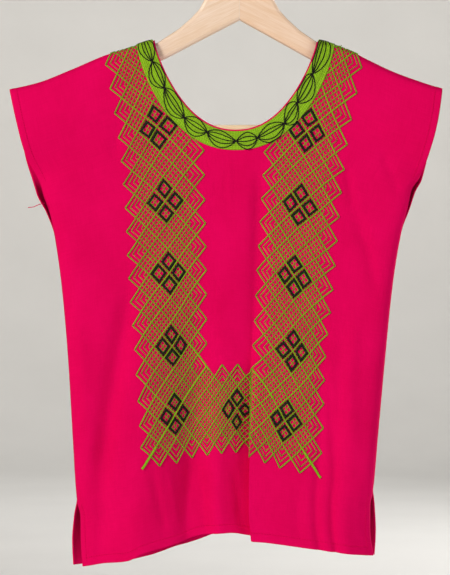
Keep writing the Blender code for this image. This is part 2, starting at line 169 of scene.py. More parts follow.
# Small creases: (pixels of the photograph that one runs through, half width, height). A minus height is
# a trough.
FRONT_CREASES = [
    (((133, 262), (128, 310), (120, 360), (111, 410), (106, 450), (101, 505)), 12.0, -7.5),
    (((260, 150), (259, 230), (258, 300), (255, 385)), 9.0, -5.0),
    (((117, 84), (119, 120), (114, 166)), 7.0, -2.0),
    (((152, 458), (158, 495), (168, 538)), 5.5, -1.7),
    (((168, 462), (176, 505), (180, 536)), 4.5, 1.2),
    (((187, 448), (193, 492), (197, 536)), 7.5, -3.0),
    (((233, 460), (238, 500), (240, 530)), 5.0, -1.5),
    (((328, 380), (330, 430), (331, 470)), 5.0, -2.0),
    (((346, 165), (351, 200), (351, 215)), 6.0, -2.0),
    (((350, 200), (367, 250), (377, 300)), 8.0, -2.2),
    (((380, 147), (400, 197)), 7.0, -1.8),
    (((43, 163), (47, 200)), 5.0, -1.6),
    (((47, 160), (48, 233)), 3.0, 0.9),
    (((24, 96), (39, 91)), 6.0, -1.6),
    (((230, 152), (231, 217)), 2.0, 0.6),
    (((352, 86), (396, 112)), 9.0, 1.4),
    (((355, 300), (348, 380), (352, 470)), 9.0, 1.8),
    (((366, 470), (362, 512), (366, 546)), 5.0, -1.6),
    (((300, 480), (296, 515), (300, 550)), 8.0, -1.4),
    (((60, 118), (98, 96)), 9.0, 1.2),
    (((76, 300), (84, 372), (86, 440)), 8.0, 1.6),
]
BACK_CREASES = [
    (((330, 262), (338, 330), (350, 402), (352, 483)), 8.0, -2.2),
    (((96, 205), (84, 255), (78, 300)), 8.0, -2.0),
    (((60, 150), (46, 195)), 7.0, -1.6),
    (((231, 175), (230, 260)), 2.0, 0.6),
    (((200, 300), (206, 380), (200, 450)), 9.0, 1.5),
    (((390, 120), (352, 98)), 9.0, 1.3),
]

# Hems: how far the stitch row lies from the edge, the relief of the turned-up cloth, and its stitches
HEM_BOTTOM = 10.0
HEM_SLEEVE = 7.5
HEM_SLIT = 5.5
HEM_SWELL = 0.55
SLEEVE_HEM_SHARE = 0.5  # relief of the sleeve hems against the others
STITCH_SINK = 0.5
STITCH_ROW_WIDTH = 1.1
STITCH_PITCH = 3.2
STITCH_LENGTH = 2.3
STITCH_THREAD = 0.7
BODY_WIDTH = 347.0
SLEEVE_WIDTH = 470.0

# Cut of each half of the length: its width from sleeve end to sleeve end, and its length from the fold
# to the hem
CUT_WIDTH = 560.0
CUT_LENGTH = 600.0

# Lattice: the chart's columns run from 0 at the left tips to 11 at the right tips, its rows from 0 at the
# lowest tips to FOLD_ROW at the shoulder. LATTICE_PLACES gives the pixel of the photograph at each of
# these columns and rows.
FOLD_ROW = 17.6
LATTICE_COLUMNS = (0.0, 2.0, 4.0, 7.0, 9.0, 11.0)
LATTICE_ROWS = (0.0, 2.0, 5.0, 8.0, 11.0, 14.0, FOLD_ROW)
LATTICE_PLACES = [
    [(142.5, 469.0), (139.5, 426.1), (134.7, 349.5), (128.8, 278.7),
     (125.3, 208.1), (118.5, 137.5), (104.0, 57.0)],
    [(176.6, 463.0), (175.0, 414.0), (172.0, 346.0), (169.0, 273.0),
     (165.0, 201.0), (157.0, 127.0), (140.0, 47.0)],
    [(207.4, 455.2), (207.0, 411.0), (206.7, 343.3), (206.3, 270.1),
     (204.9, 199.5), (202.5, 125.0), (186.0, 42.0)],
    [(250.1, 457.0), (252.0, 412.0), (253.9, 345.6), (257.2, 270.1),
     (261.5, 198.6), (266.0, 128.0), (287.0, 42.0)],
    [(279.7, 467.9), (285.0, 421.0), (293.0, 351.0), (294.0, 276.0),
     (300.0, 205.0), (307.0, 131.0), (331.0, 46.5)],
    [(320.3, 477.7), (323.1, 428.1), (325.8, 356.6), (333.0, 290.0),
     (339.2, 216.7), (347.2, 144.7), (364.0, 57.0)],
]
CELL_WIDTH = 25.5       # millimetres for one column and for one row of the chart
CELL_HEIGHT = 28.5
BAR_ROWS = 4
FINE_LINES = (0.25, 0.5, 0.75)
MOTIF_ROWS = (2, 5, 8, 11, 14)
MOTIF_COLUMNS = (2, 9)
MOTIF_BAR = (5.95, 1.96)

# A motif's four diamonds: (columns off its centre, rows off it, size)
MOTIF_OFFSETS = [(-0.5, 0.0, 1.0), (0.5, 0.0, 1.0), (0.0, -0.5, 1.0), (0.0, 0.5, 1.0)]
MOTIF_BAR_OFFSETS = [(-0.52, 0.0, 1.22), (0.53, 0.0, 0.76), (0.06, -0.60, 0.95), (0.03, 0.50, 1.15)]
MOTIF_SHARE = 0.64      # size of a black diamond against its cell
MOTIF_SHARPNESS = 1.0   # 1 gives straight sides and sharp corners, 2 a circle
MOTIF_HEIGHT = 1.5
LINE_STEP = 3.4
SWAY_LENGTH = 11.0      # a sewn line strays a little from side to side over this length

# Thicker lines of the chart: (start, end), each as (column, row)
HEAVY_LINES = [
    ((4.0, 4.0), (0.0, 0.0)), ((7.0, 4.0), (8.2, 2.8)), ((9.8, 1.2), (11.0, 0.0)),
    ((3.0, 5.0), (4.2, 3.8)),
]
TIP_LINES = [((0.9, 0.9), (-0.03, -0.03)), ((10.1, 0.9), (11.03, -0.03))]

# Neck band: rows of chain stitch, and how many points its mesh has along it and for each row
BAND_ROWS = 9
BAND_STEPS = 341
BAND_ROW_STEPS = 6
BAND_LENGTH = 330.0
CHAIN_STITCH = 2.4

# Black loops on the neck band: the pixels where their strands meet
LOOP_KNOTS = [
    (145.0, 47.0), (152.5, 63.0), (165.0, 89.4), (184.6, 118.4), (207.0, 132.7), (236.4, 142.0),
    (257.4, 138.9), (284.2, 124.6), (297.1, 103.7), (311.9, 75.1), (321.7, 47.4),
]
LOOP_STRANDS = (-0.42, -0.17, 0.03, 0.26, 0.5)  # bulge of each strand, as a share of the band's width

# Loose ends of thread: pixels, and the depth y at each
LOOSE_THREADS = {
    "pink": ([(45, 203), (39, 204.5), (33, 207), (28, 207.5)], (-11.0, -12.0, -11.0, -8.0)),
    "green": ([(338.4, 49.0), (339.6, 47.2), (341.6, 45.2)], (-2.5, -4.0, -3.0)),
}

# Hanger: how far an arm falls, and over what length
ARM_FALL = 90.0
ARM_RUN = 190.0

# Studio, in metres: (name, place, aim, size, setting that holds its power, tint)
MIDDLE = (0.0, 0.0, -0.46)
SOFTBOXES = [
    ("key_softbox", (-5.2, -4.3, 2.4), MIDDLE, 2.1, "key", "#fff8f0"),
    ("fill_softbox", (1.9, -1.7, -0.8), (0.1, 0.0, -0.55), 1.6, "fill", "#f6f8ff"),
    ("back_softbox", (2.6, 3.2, 0.8), MIDDLE, 1.4, "back", "#fdfcfb"),
    ("backdrop_softbox", (0.0, 3.9, 1.5), (0.0, 7.2, -0.7), 2.4, "wall", "#ffffff"),
]
FLOOR_HEIGHT = -1.25
BOWL_REACH = 7.4
BOWL_TOP = 4.2
BOWL_TURN = 1.6         # radius of the turn from the floor to the wall
BOWL_SIDES = 72


def linear(code):
    """sRGB colour given as a hex code, turned to linear red, green, blue and alpha."""
    parts = [int(code[place:place + 2], 16) / 255 for place in (1, 3, 5)]
    return (*(part / 12.92 if part <= 0.04045 else ((part + 0.055) / 1.055) ** 2.4 for part in parts), 1.0)


# Form of the cloth


def smooth_table(at, known, values):
    """Curve through a table's points that never overshoots them: cubic Hermite, with harmonic mean
    slopes."""
    known = np.asarray(known, float)
    values = np.asarray(values, float)
    step = np.diff(values) / np.diff(known)
    slope = np.concatenate(([step[0]], np.zeros(len(step) - 1), [step[-1]]))
    same = step[:-1] * step[1:] > 0
    both = np.where(same, step[:-1] + step[1:], 1.0)
    slope[1:-1] = np.where(same, 2 * step[:-1] * step[1:] / both, 0.0)
    at = np.clip(at, known[0], known[-1])
    cell = np.clip(np.searchsorted(known, at, side="right") - 1, 0, len(step) - 1)
    width = known[cell + 1] - known[cell]
    u = (at - known[cell]) / width
    return (values[cell] * (1 + 2 * u) * (1 - u) ** 2 + values[cell + 1] * u * u * (3 - 2 * u)
            + width * (slope[cell] * u * (1 - u) ** 2 - slope[cell + 1] * u * u * (1 - u)))


def column(table, number):
    """One column of a table of rows."""
    return [row[number] for row in table]


def curve(at, table, number=1):
    """Smooth curve of a table's column against its first one."""
    return smooth_table(at, column(table, 0), column(table, number))


def ease(at, start, end):
    """Smooth step from 0 at start to 1 at end."""
    u = np.clip((at - start) / (end - start), 0, 1)
    return u * u * (3 - 2 * u)


def cloth_edges(down, side):
    """Left and right edge of a panel, as x, at each share of the way down."""
    edges = FRONT_EDGES if side < 0 else BACK_EDGES
    return [curve(down, edges, number) for number in (1, 2)]


def fall_lines(x, side):
    """Height of the shoulder fold and of the hem at x, and the radius of the fold there."""
    radius = FOLD_RADIUS + (TIP_RADIUS - FOLD_RADIUS) * ease(np.abs(x - CENTRE_X), *TIP_NARROWS)
    return curve(x, SHOULDER_FOLD), curve(x, FRONT_HEM if side < 0 else BACK_HEM), radius


def fold_relief(across, down, folds):
    """Sum of soft ridges and troughs, each a bell curve across that grows from its start to the hem."""
    relief = np.zeros(np.broadcast(across, down).shape)
    for start, place_top, place_hem, width, depth in folds:
        grow = ease(down, start, 1.0)
        place = place_top + (place_hem - place_top) * np.clip((down - start) / (1 - start), 0, 1)
        spread = width * (1.6 - 0.6 * grow)
        relief = relief + depth * grow * np.exp(-((across - place) / spread) ** 2)
    return relief


def pleat_growth(down):
    """Share of the pleat's full depth: a smooth step from its start to the hem, to the power 0.8."""
    return ease(down, PLEAT_START, 1.0) ** 0.8


def pleat_relief(across, down):
    """The deep pleat: a steep step at its place, a groove to its left and a slow return to its right."""
    off = across - PLEAT_PLACE
    half = PLEAT_SHARPNESS + (PLEAT_SOFTNESS - PLEAT_SHARPNESS) * (1 - ease(down, *PLEAT_SHARPENS))
    step = 0.5 * (1 + np.tanh((off - half + PLEAT_SHARPNESS) / half))
    right = PLEAT_RISE * step * np.exp(-(np.maximum(off, 0) / PLEAT_RISE_WIDTH) ** 2)
    left = -PLEAT_SINK * (1 - step) * np.exp(np.minimum(off, 0) / PLEAT_SINK_WIDTH)
    return pleat_growth(down) * (right + left)


def pixel_place(pixel_x, pixel_y, y=FRAME_PLANE_Y):
    """Point of the garment, as x and z, that a pixel shows at depth y: the pixel's place about the
    camera's axis, scaled by how far off that depth is."""
    scale = PIXEL * (CAMERA_REACH + y - FRAME_PLANE_Y) / CAMERA_REACH
    return (CAMERA_X + (np.asarray(pixel_x, float) - PHOTO_WIDTH / 2) * scale,
            CAMERA_Z - (np.asarray(pixel_y, float) - PHOTO_HEIGHT / 2) * scale)


def crease_relief(x, z, creases):
    """Sum of small creases: each is a bell curve of the distance to its line, faded out at the line's
    ends."""
    relief = np.zeros(np.shape(x))
    for pixels, half_width, height in creases:
        line_x, line_z = pixel_place(*zip(*pixels))
        runs = np.hypot(np.diff(line_x), np.diff(line_z))
        ends = np.concatenate(([0.0], np.cumsum(runs)))
        nearest = np.full(np.shape(x), 1e9)
        along = np.zeros(np.shape(x))
        for n, run in enumerate(runs):
            way_x, way_z = (line_x[n + 1] - line_x[n]) / run, (line_z[n + 1] - line_z[n]) / run
            part = np.clip((x - line_x[n]) * way_x + (z - line_z[n]) * way_z, 0, run)
            distance = np.hypot(x - line_x[n] - part * way_x, z - line_z[n] - part * way_z)
            along = np.where(distance < nearest, ends[n] + part, along)
            nearest = np.minimum(nearest, distance)
        share = along / ends[-1]
        bell = height * np.exp(-(nearest / half_width) ** 2)
        relief = relief + bell * ease(share, 0.0, 0.3) * ease(1 - share, 0.0, 0.3)
    return relief


def cloth_surface(across, down, side):
    """Outer face of a panel. across and down run from 0 to 1, and side is -1 for the front and 1 for the
    back. It is a quarter circle over the fold and then a straight fall. Its depth at each height is a
    rounded box across, with the folds, creases and pleat added and held off the middle plane."""
    front = side < 0
    depths = FRONT_DEPTH if front else BACK_DEPTH
    left, right = cloth_edges(down, side)
    x = left + (right - left) * across

    fold_z, hem_z, radius = fall_lines(x, side)
    quarter = radius * math.pi / 2
    length = fold_z - hem_z + quarter - radius
    run = down * length
    turn = np.minimum(run / radius, math.pi / 2)
    z = fold_z - radius * (1 - np.cos(turn)) - np.maximum(run - quarter, 0)

    middle, edge, sewn = (curve(down, depths, number) for number in (1, 2, 3))
    off = np.abs(2 * across - 1)
    closed_form = np.sqrt(np.maximum(1 - off ** CLOSED_POWER, 0))
    open_form = 1 - off ** OPEN_POWER
    form = sewn * closed_form + (1 - sewn) * open_form
    relief = fold_relief(across, down, FRONT_FOLDS if front else BACK_FOLDS)
    relief = relief + crease_relief(x, z, FRONT_CREASES if front else BACK_CREASES)
    if front:
        relief = relief + pleat_relief(across, down)
        lap = np.exp(-((across - PLEAT_PLACE - PLEAT_LAP_OFF) / PLEAT_LAP_WIDTH) ** 2)
        under = np.exp(-((across - PLEAT_PLACE + PLEAT_UNDER_OFF) / PLEAT_UNDER_WIDTH) ** 2)
        slip = (PLEAT_UNDER * under - PLEAT_LAP * lap) * pleat_growth(down) * ease(down, *PLEAT_LAPS)
        x = x + slip
    height = middle - edge + relief - LEAST_DEPTH
    depth = edge + (LEAST_DEPTH + 0.5 * (height + np.sqrt(height ** 2 + FLOOR_SOFTNESS ** 2))) * form
    y = side * (MIDDLE_GAP + np.sin(turn) * np.maximum(depth, 0))
    return np.stack([x, y, z], axis=-1)


def cloth_frame(across, down, side):
    """Points of a panel's outer face with their outward directions: the cross product of its two
    slopes."""
    step = 2e-4
    across, down = np.asarray(across, float), np.asarray(down, float)
    before, after = np.maximum(across - step, 0), np.minimum(across + step, 1)
    above, below = np.maximum(down - step, 0), np.minimum(down + step, 1)
    along = cloth_surface(after, down, side) - cloth_surface(before, down, side)
    drop = cloth_surface(across, below, side) - cloth_surface(across, above, side)
    out = np.cross(drop, along) * -side
    out = np.where((down <= 0)[..., None], out * np.array([1.0, 0.0, 1.0]), out)
    out /= np.linalg.norm(out, axis=-1, keepdims=True)
    return cloth_surface(across, down, side), out


def cloth_place(x, z, side):
    """Share across and share down at which a panel shows the point x, z: the surface formula solved
    backwards."""
    fold_z, hem_z, radius = fall_lines(x, side)
    quarter = radius * math.pi / 2
    fall = np.maximum(fold_z - z, 0)
    bent = radius * np.arccos(np.clip(1 - fall / radius, -1, 1))
    run = np.where(fall < radius, bent, quarter + fall - radius)
    down = run / (fold_z - hem_z + quarter - radius)
    left, right = cloth_edges(down, side)
    return (x - left) / (right - left), down


def pixel_on_cloth(pixel_x, pixel_y, side):
    """Shares across and down of the cloth that a pixel shows, found in three steps of its depth."""
    y = FRAME_PLANE_Y
    for _ in range(3):
        x, z = pixel_place(pixel_x, pixel_y, y)
        across, down = cloth_place(x, z, side)
        y = cloth_surface(across, down, -1)[..., 1]
    return across, down


def neck_measure(x, z, half_width, depth, powers):
    """Below 1 inside the neck's outline, above 1 outside it: a superellipse with one power across and one
    down."""
    fall = np.maximum(NECK_TOP - z, 0)
    return (np.abs(x - CENTRE_X) / half_width) ** powers[0] + (fall / depth) ** powers[1]


def neck_down(across, side):
    """How far down each column of cloth starts: halving the range until the neckline is met."""
    outline = (NECK_HALF_WIDTH, NECK_DEPTH, NECK_POWERS)
    low, high = np.zeros(len(across)), np.full(len(across), 0.45)
    start = cloth_surface(across, low, side)
    outside = neck_measure(start[:, 0], start[:, 2], *outline) >= 1
    for _ in range(40):
        middle = (low + high) / 2
        point = cloth_surface(across, middle, side)
        inside = neck_measure(point[:, 0], point[:, 2], *outline) < 1
        low, high = np.where(inside, middle, low), np.where(inside, high, middle)
    return np.where(outside, 0.0, high)


# Meshes


def piece_from(name, points, faces, finish, uv=None, smooth=True):
    """New piece from points in millimetres and faces; uv holds a pair for each point, in metres."""
    mesh = bpy.data.meshes.new(name)
    mesh.from_pydata((np.asarray(points) * MM).tolist(), [], faces)
    if uv is not None:
        layer = mesh.uv_layers.new(name="cloth")
        corners = np.empty(len(mesh.loops), int)
        mesh.loops.foreach_get("vertex_index", corners)
        layer.data.foreach_set("uv", np.asarray(uv, np.float32)[corners].ravel())
    mesh.polygons.foreach_set("use_smooth", np.full(len(mesh.polygons), smooth))
    mesh.materials.append(finish)
    mesh.update()
    piece = bpy.data.objects.new(name, mesh)
    bpy.context.scene.collection.objects.link(piece)
    return piece


def wall_faces(rows, columns, side):
    """Faces of a closed wall between an outer and an inner grid, with a strip round its four edges."""
    count = rows * columns
    index = np.arange(count).reshape(rows, columns)
    quads = np.stack([index[:-1, :-1], index[1:, :-1], index[1:, 1:], index[:-1, 1:]], -1).reshape(-1, 4)
    rim = np.concatenate([index[:-1, 0], index[-1, :-1], index[:0:-1, -1], index[0, :0:-1]])
    ahead = np.roll(rim, -1)
    strip = np.stack([rim, rim + count, ahead + count, ahead], -1)
    faces = np.concatenate([quads, quads[:, ::-1] + count, strip])
    return (faces if side < 0 else faces[:, ::-1]).tolist()


def strip_faces(steps, corners, first, closed):
    """Faces of a tube: steps rings of corners points each, with end caps unless the path is closed."""
    index = first + np.arange(steps * corners).reshape(steps, corners)
    ring = np.concatenate([index, index[:1]]) if closed else index
    near, far = ring[:-1], ring[1:]
    sides = np.stack([near, np.roll(near, -1, 1), np.roll(far, -1, 1), far], -1).reshape(-1, 4).tolist()
    return sides if closed else sides + [index[0, ::-1].tolist(), index[-1].tolist()]


def thread_tube(path, out, width, height, sink, closed=False):
    """Flat-bottomed thread along a path on the cloth: at each point a four-cornered profile, wide below
    and narrower above, set across the path in the plane of the cloth. Corners are mitred: the profile is
    widened by one over the cosine of half the turn."""
    reach = np.roll(path, -1, 0) - path
    way = reach / np.maximum(np.linalg.norm(reach, axis=1, keepdims=True), 1e-9)
    bend = np.sum(way * np.roll(way, 1, 0), axis=1)
    mitre = 1 / np.sqrt(np.clip((1 + bend) / 2, 0.4, 1))[:, None]
    ahead = np.roll(path, -1, 0) - np.roll(path, 1, 0)
    if not closed:
        ahead[0], ahead[-1] = path[1] - path[0], path[-1] - path[-2]
        mitre[[0, -1]] = 1.0
    across = np.cross(ahead, out)
    across *= mitre / np.linalg.norm(across, axis=1, keepdims=True)
    half, top = width / 2, width * 0.28
    profile = ((-half, -sink), (-top, height), (top, height), (half, -sink))
    return np.stack([path + across * a + out * b for a, b in profile], 1)


class ThreadWork:
    """Collects the tubes of one piece of thread work, with the length along each and its tone as UV."""

    def __init__(self):
        self.points, self.faces, self.uv, self.count = [], [], [], 0

    def add(self, path, out, width, height, tone, sink=0.3, closed=False):
        """Adds one thread."""
        rings = thread_tube(path, out, width, height, sink, closed)
        steps, corners = rings.shape[:2]
        gaps = np.linalg.norm(np.diff(path, axis=0), axis=1)
        length = np.concatenate(([0.0], np.cumsum(gaps))) * MM
        self.points.append(rings.reshape(-1, 3))
        self.uv.append(np.stack([np.repeat(length, corners), np.full(steps * corners, tone)], -1))
        self.faces += strip_faces(steps, corners, self.count, closed)
        self.count += steps * corners

    def build(self, name, finish):
        """Makes one piece of all threads added so far."""
        points, uv = np.concatenate(self.points), np.concatenate(self.uv)
        return piece_from(name, points, self.faces, finish, uv)


# Materials


def add_node(tree, kind, inputs=(), **settings):
    """Adds a node: settings are its own properties, inputs are values or other nodes' outputs by
    socket."""
    node = tree.nodes.new(kind)
    for name, value in settings.items():
        setattr(node, name, value)
    for socket, value in dict(inputs).items():
        if isinstance(value, bpy.types.NodeSocket):
            tree.links.new(value, node.inputs[socket])
        else:
            node.inputs[socket].default_value = value
    return node


def new_material(name):
    """New material with its node tree and its shader."""
    made = bpy.data.materials.new(name)
    made.use_nodes = True
    return made, made.node_tree, made.node_tree.nodes["Principled BSDF"]


def cotton_cloth(colours):
    """Cotton, plain woven by hand and dyed in the piece: matt and saturated, with thicker yarns that
    run along and
    across the cloth as faint lines. Yarns lie 0.6 mm apart; the relief is drawn at 1.8 mm so that it
    shows. Its colour follows the same yarn relief: painted light on the raised yarns and painted shade
    between them, mixed with larger patches of random tone."""
    made, tree, shader = new_material("plain_woven_cotton")
    place = add_node(tree, "ShaderNodeUVMap", uv_map="cloth")
    across = add_node(tree, "ShaderNodeMapping", {"Vector": place.outputs[0], "Scale": (40.0, 700.0, 1.0)})
    along = add_node(tree, "ShaderNodeMapping", {"Vector": place.outputs[0], "Scale": (700.0, 40.0, 1.0)})
    weft = add_node(tree, "ShaderNodeTexNoise", {"Vector": across.outputs[0], "Scale": 1.0, "Detail": 3.0})
    warp = add_node(tree, "ShaderNodeTexNoise", {"Vector": along.outputs[0], "Scale": 1.0, "Detail": 3.0})
    yarns = add_node(tree, "ShaderNodeMath", {0: weft.outputs[0], 1: warp.outputs[0]}, operation="ADD")
    patches = add_node(tree, "ShaderNodeTexNoise",
                       {"Vector": place.outputs[0], "Scale": 14.0, "Detail": 4.0})
    # Painted light and shade: the yarn relief, at half strength, lightens the raised yarns and darkens the
    # gaps between them
    faint = add_node(tree, "ShaderNodeMath", {0: yarns.outputs[0], 1: 0.5}, operation="MULTIPLY")
    yarn_shade_and_patches = add_node(tree, "ShaderNodeMath", {0: faint.outputs[0], 1: patches.outputs[0]}, operation="ADD")
    share = add_node(tree, "ShaderNodeMapRange",
                     {"Value": yarn_shade_and_patches.outputs[0], "From Min": 0.6, "From Max": 1.4})
    # The gaps between the yarns take the deep colour as painted shade; the larger patches are random tone
    tint = add_node(tree, "ShaderNodeMix",
                    {"Factor": share.outputs[0], "A": colours.cotton_deep_and_shade, "B": colours.cotton},
                    data_type="RGBA")
    tree.links.new(tint.outputs["Result"], shader.inputs["Base Color"])
    dent = add_node(tree, "ShaderNodeBump",
                    {"Height": yarns.outputs[0], "Strength": 0.16, "Distance": 0.0007})
    tree.links.new(dent.outputs[0], shader.inputs["Normal"])
    shader.inputs["Roughness"].default_value = 0.92
    shader.inputs["Specular IOR Level"].default_value = 0.02
    shader.inputs["Sheen Weight"].default_value = 0.06
    shader.inputs["Sheen Roughness"].default_value = 0.5
    shader.inputs["Sheen Tint"].default_value = colours.cotton
    return made


def embroidery_yarn(name, low, high, roughness, gloss, pitch):
    """Mercerised cotton yarn, laid in chain stitch: a soft gloss on each stitch, small changes of tone
    along it.
    Stitches are 2.4 mm long, which is drawn as it is."""
    made, tree, shader = new_material(name)
    place = add_node(tree, "ShaderNodeUVMap", uv_map="cloth")
    parts = add_node(tree, "ShaderNodeSeparateXYZ", {0: place.outputs[0]})
    stitch = add_node(tree, "ShaderNodeTexWave", {"Vector": place.outputs[0], "Scale": 0.314 / pitch,
                                                 "Distortion": 1.2, "Detail": 2.0}, bands_direction="X")
    spots = add_node(tree, "ShaderNodeTexCoord")
    fuzz = add_node(tree, "ShaderNodeTexNoise",
                    {"Vector": spots.outputs["Object"], "Scale": 260.0, "Detail": 3.0})
    mixed = add_node(tree, "ShaderNodeMath", {0: fuzz.outputs[0], 1: parts.outputs[1]}, operation="ADD")
    share = add_node(tree, "ShaderNodeMapRange",
                     {"Value": mixed.outputs[0], "From Min": 0.4, "From Max": 1.6})
    tint = add_node(tree, "ShaderNodeMix", {"Factor": share.outputs[0], "A": low, "B": high},
                    data_type="RGBA")
    tree.links.new(tint.outputs["Result"], shader.inputs["Base Color"])
    dent = add_node(tree, "ShaderNodeBump",
                    {"Height": stitch.outputs[1], "Strength": 0.5, "Distance": 0.0006})
    tree.links.new(dent.outputs[0], shader.inputs["Normal"])
    shader.inputs["Roughness"].default_value = roughness
    shader.inputs["Specular IOR Level"].default_value = gloss
    return made


def lacquered_wood(name, early, late, turn):
    """Beech, sawn, rounded and clear lacquered: pale, with long fine darker pores along the arm and a
    soft gloss.
    Growth lines lie 3 to 5 mm apart; turn lays them along the arm."""
    made, tree, shader = new_material(name)
    place = add_node(tree, "ShaderNodeTexCoord")
    laid = add_node(tree, "ShaderNodeMapping",
                    {"Vector": place.outputs["Object"], "Rotation": (0.0, turn, 0.0)})
    long = add_node(tree, "ShaderNodeMapping", {"Vector": laid.outputs[0], "Scale": (9.0, 90.0, 190.0)})
    bands = add_node(tree, "ShaderNodeTexNoise", {"Vector": long.outputs[0], "Scale": 1.0, "Detail": 4.0,
                                                 "Roughness": 0.6})
    thin = add_node(tree, "ShaderNodeMapping", {"Vector": laid.outputs[0], "Scale": (60.0, 900.0, 1400.0)})
    pores = add_node(tree, "ShaderNodeTexNoise", {"Vector": thin.outputs[0], "Scale": 1.0, "Detail": 3.0})
    both = add_node(tree, "ShaderNodeMath", {0: bands.outputs[0], 1: pores.outputs[0]}, operation="ADD")
    share = add_node(tree, "ShaderNodeMapRange",
                     {"Value": both.outputs[0], "From Min": 0.72, "From Max": 1.28})
    tint = add_node(tree, "ShaderNodeMix", {"Factor": share.outputs[0], "A": late, "B": early},
                    data_type="RGBA")
    tree.links.new(tint.outputs["Result"], shader.inputs["Base Color"])
    dent = add_node(tree, "ShaderNodeBump",
                    {"Height": pores.outputs[0], "Strength": 0.15, "Distance": 0.0004})
    tree.links.new(dent.outputs[0], shader.inputs["Normal"])
    shader.inputs["Roughness"].default_value = 0.42
    shader.inputs["Specular IOR Level"].default_value = 0.45
    return made


def plated_steel(colours):
    """Steel wire, drawn and bright plated: a mirror-like metal with fine draw lines along the wire."""
    made, tree, shader = new_material("bright_plated_steel_wire")
    place = add_node(tree, "ShaderNodeTexCoord")
    grain = add_node(tree, "ShaderNodeTexNoise",
                     {"Vector": place.outputs["Object"], "Scale": 900.0, "Detail": 2.0})
    dull = add_node(tree, "ShaderNodeMapRange",
                    {"Value": grain.outputs[0], "To Min": 0.16, "To Max": 0.34})
    tree.links.new(dull.outputs[0], shader.inputs["Roughness"])
    dent = add_node(tree, "ShaderNodeBump",
                    {"Height": grain.outputs[0], "Strength": 0.08, "Distance": 0.0002})
    tree.links.new(dent.outputs[0], shader.inputs["Normal"])
    shader.inputs["Base Color"].default_value = colours.steel
    shader.inputs["Metallic"].default_value = 1.0
    return made


def studio_paper(colours):
    """Seamless backdrop paper: matt and pale, with a very faint mottle."""
    made, tree, shader = new_material("seamless_backdrop_paper")
    place = add_node(tree, "ShaderNodeTexCoord")
    mottle = add_node(tree, "ShaderNodeTexNoise",
                      {"Vector": place.outputs["Object"], "Scale": 3.0, "Detail": 5.0})
    tint = add_node(tree, "ShaderNodeMix", {"Factor": mottle.outputs[0], "A": colours.paper,
                                           "B": linear("#dcdbd8")}, data_type="RGBA")
    tree.links.new(tint.outputs["Result"], shader.inputs["Base Color"])
    shader.inputs["Roughness"].default_value = 0.95
    shader.inputs["Specular IOR Level"].default_value = 0.1
    return made


# Settings


def colour_property(name, description, code):
    return bpy.props.FloatVectorProperty(name=name, description=description, subtype="COLOR", size=4,
                                         min=0, max=1,
                                         default=linear(code))


class BlouseColours(bpy.types.PropertyGroup):
    cotton: colour_property("Cotton", "Lit colour of the dyed cloth", "#dd0459")
    # Darker tone of the cloth: painted shade in the gaps between the thicker yarns, and the darker end of
    # its random patches and of the pink thread's tone
    cotton_deep_and_shade: colour_property("Cotton, deep", "Colour of the cloth between its thicker yarns",
                                 "#cb024b")
    yarn_bright: colour_property("Green yarn, bright", "Lightest tone of the green lattice", "#7db011")
    yarn_olive: colour_property("Green yarn, olive", "Darkest tone of the green lattice", "#667b17")
    band_bright: colour_property("Neck band, bright", "Lightest tone of the neck band", "#8cbf18")
    band_olive: colour_property("Neck band, olive", "Darkest tone of the neck band", "#6f8e17")
    yarn_black: colour_property("Black yarn", "Black embroidery", "#0b0a09")
    wood_left: colour_property("Wood, left arm", "Pale tone of the left arm's wood", "#ead4c2")
    wood_right: colour_property("Wood, right arm", "Pale tone of the right arm's wood", "#e8cdb7")
    wood_bar: colour_property("Wood, bar", "Pale tone of the bar's wood", "#fff0d0")
    steel: colour_property("Hook steel", "Reflected tint of the hook", "#cfcfd1")
    paper: colour_property("Backdrop", "Studio backdrop", "#e6e5e2")


def size_property(name, description, millimetres):
    return bpy.props.FloatProperty(name=name, description=description, default=millimetres * MM, min=0.0,
                                   precision=5, unit="LENGTH")


class BlouseSizes(bpy.types.PropertyGroup):
    wall: size_property("Cloth thickness", "One layer of the cotton", WALL)
    fine_line: size_property("Fine line", "Width of the lattice's fine chain stitch", 1.0)
    bold_line: size_property("Bold line", "Width of the chain stitch that frames each cell", 1.7)
    black_line: size_property("Black line", "Width of the black diamonds' outline", 3.4)
    line_height: size_property("Line height", "How far the green lines stand off the cloth", 0.7)
    band_height: size_property("Band height", "How far the neck band stands off the cloth", 1.7)
    loop_thread: size_property("Loop thread", "Width of the black strands on the neck band", 1.5)


class StudioSettings(bpy.types.PropertyGroup):
    key: bpy.props.FloatProperty(name="Key light", description="Power of the soft light at the left front",
                                 default=396.0, min=0.0, unit="POWER")
    fill: bpy.props.FloatProperty(name="Fill light", description="Power of the soft light at the right",
                                  default=25.0, min=0.0, unit="POWER")
    back: bpy.props.FloatProperty(name="Back light",
                                  description="Power of the soft light on the blouse's back",
                                  default=110.0, min=0.0, unit="POWER")
    sky: bpy.props.FloatProperty(name="Ambient light", description="Strength of the even light all round",
                                 default=0.13, min=0.0)
    wall: bpy.props.FloatProperty(name="Backdrop light",
                                  description="Power of the soft light on the backdrop",
                                  default=42.0, min=0.0, unit="POWER")


